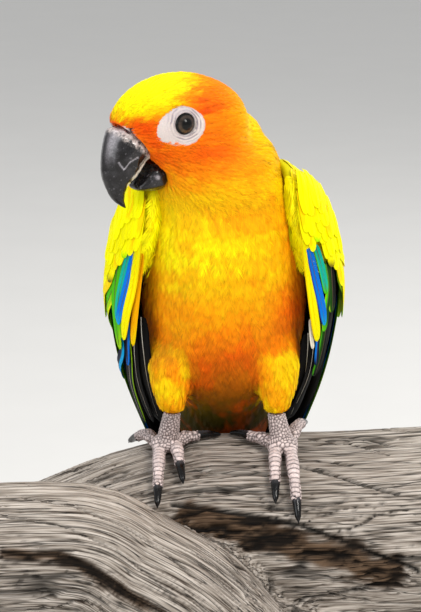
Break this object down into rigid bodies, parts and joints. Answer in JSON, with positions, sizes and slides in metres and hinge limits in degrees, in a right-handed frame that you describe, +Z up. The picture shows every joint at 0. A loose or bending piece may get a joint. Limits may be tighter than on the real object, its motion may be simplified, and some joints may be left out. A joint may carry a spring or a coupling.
{
  "type": "sun conure model on a perch",
  "caption": "Life-size still model of a sun conure with folded wings and a turned head, gripping a cut length of branch held over a flat base by rods.",
  "frame": {"origin": "middle of the base's underside", "axes": "+Z up; the bird's belly faces -Y and its left side is +X; the head is turned to the bird's right and forwards, towards -X and -Y"},
  "size_m": [0.15, 0.1525, 0.2494],
  "materials": {
    "head_plumage": "orange and yellow feathers, matt",
    "body_plumage": "golden yellow feathers washed with orange, matt",
    "wing_feathers": "yellow coverts with green, blue and near-black flight feathers",
    "tail_feathers": "olive green feathers with blue tips",
    "eye": "dark brown, glossy",
    "bill": "charcoal horn, half gloss",
    "foot_skin": "pinkish grey scaled skin",
    "claw": "black horn, half gloss",
    "weathered_wood": "bare weathered wood with deep cracks along the grain",
    "base_wood": "dark oiled wood",
    "rod_steel": "brushed"
  },
  "bodies": {
    "root": {"head": "head_plumage", "neck": "body_plumage", "trunk": "body_plumage", "tail": "tail_feathers", "wing_left": "wing_feathers", "wing_right": "wing_feathers", "thigh_left": "body_plumage", "thigh_right": "body_plumage", "eye_left": "eye", "eye_right": "eye", "bill_upper": "bill", "bill_lower": "bill", "foot_left": "foot_skin", "foot_right": "foot_skin", "claw_left_inner_front": "claw", "claw_left_inner_rear": "claw", "claw_left_outer_front": "claw", "claw_left_outer_rear": "claw", "claw_right_inner_front": "claw", "claw_right_inner_rear": "claw", "claw_right_outer_front": "claw", "claw_right_outer_rear": "claw", "perch": "weathered_wood", "stand_base": "base_wood", "stand_rod_left": "rod_steel", "stand_rod_right": "rod_steel"}
  },
  "joints": []
}
